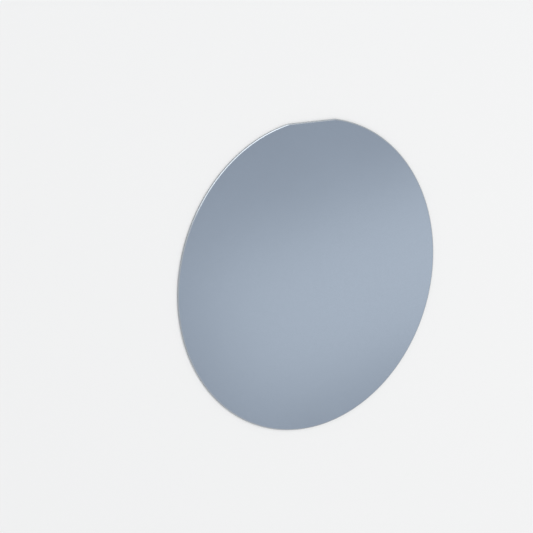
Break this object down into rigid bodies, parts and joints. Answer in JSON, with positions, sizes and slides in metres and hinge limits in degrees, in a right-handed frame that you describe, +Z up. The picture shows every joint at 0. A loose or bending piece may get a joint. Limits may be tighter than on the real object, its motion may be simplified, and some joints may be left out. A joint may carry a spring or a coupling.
{
  "type": "silicon wafer",
  "caption": "Thin round silicon wafer, the blank that chips are made on, with a short orientation flat, an etched top face, a polished underside and a ground, rounded edge.",
  "frame": {"origin": "centre of the underside, at the middle of the round rim", "axes": "+Z up out of the etched top face, +Y out through the orientation flat"},
  "size_m": [0.1, 0.0992, 0.0005],
  "materials": {
    "silicon": "satin"
  },
  "bodies": {
    "root": {"wafer": "silicon"}
  },
  "joints": []
}
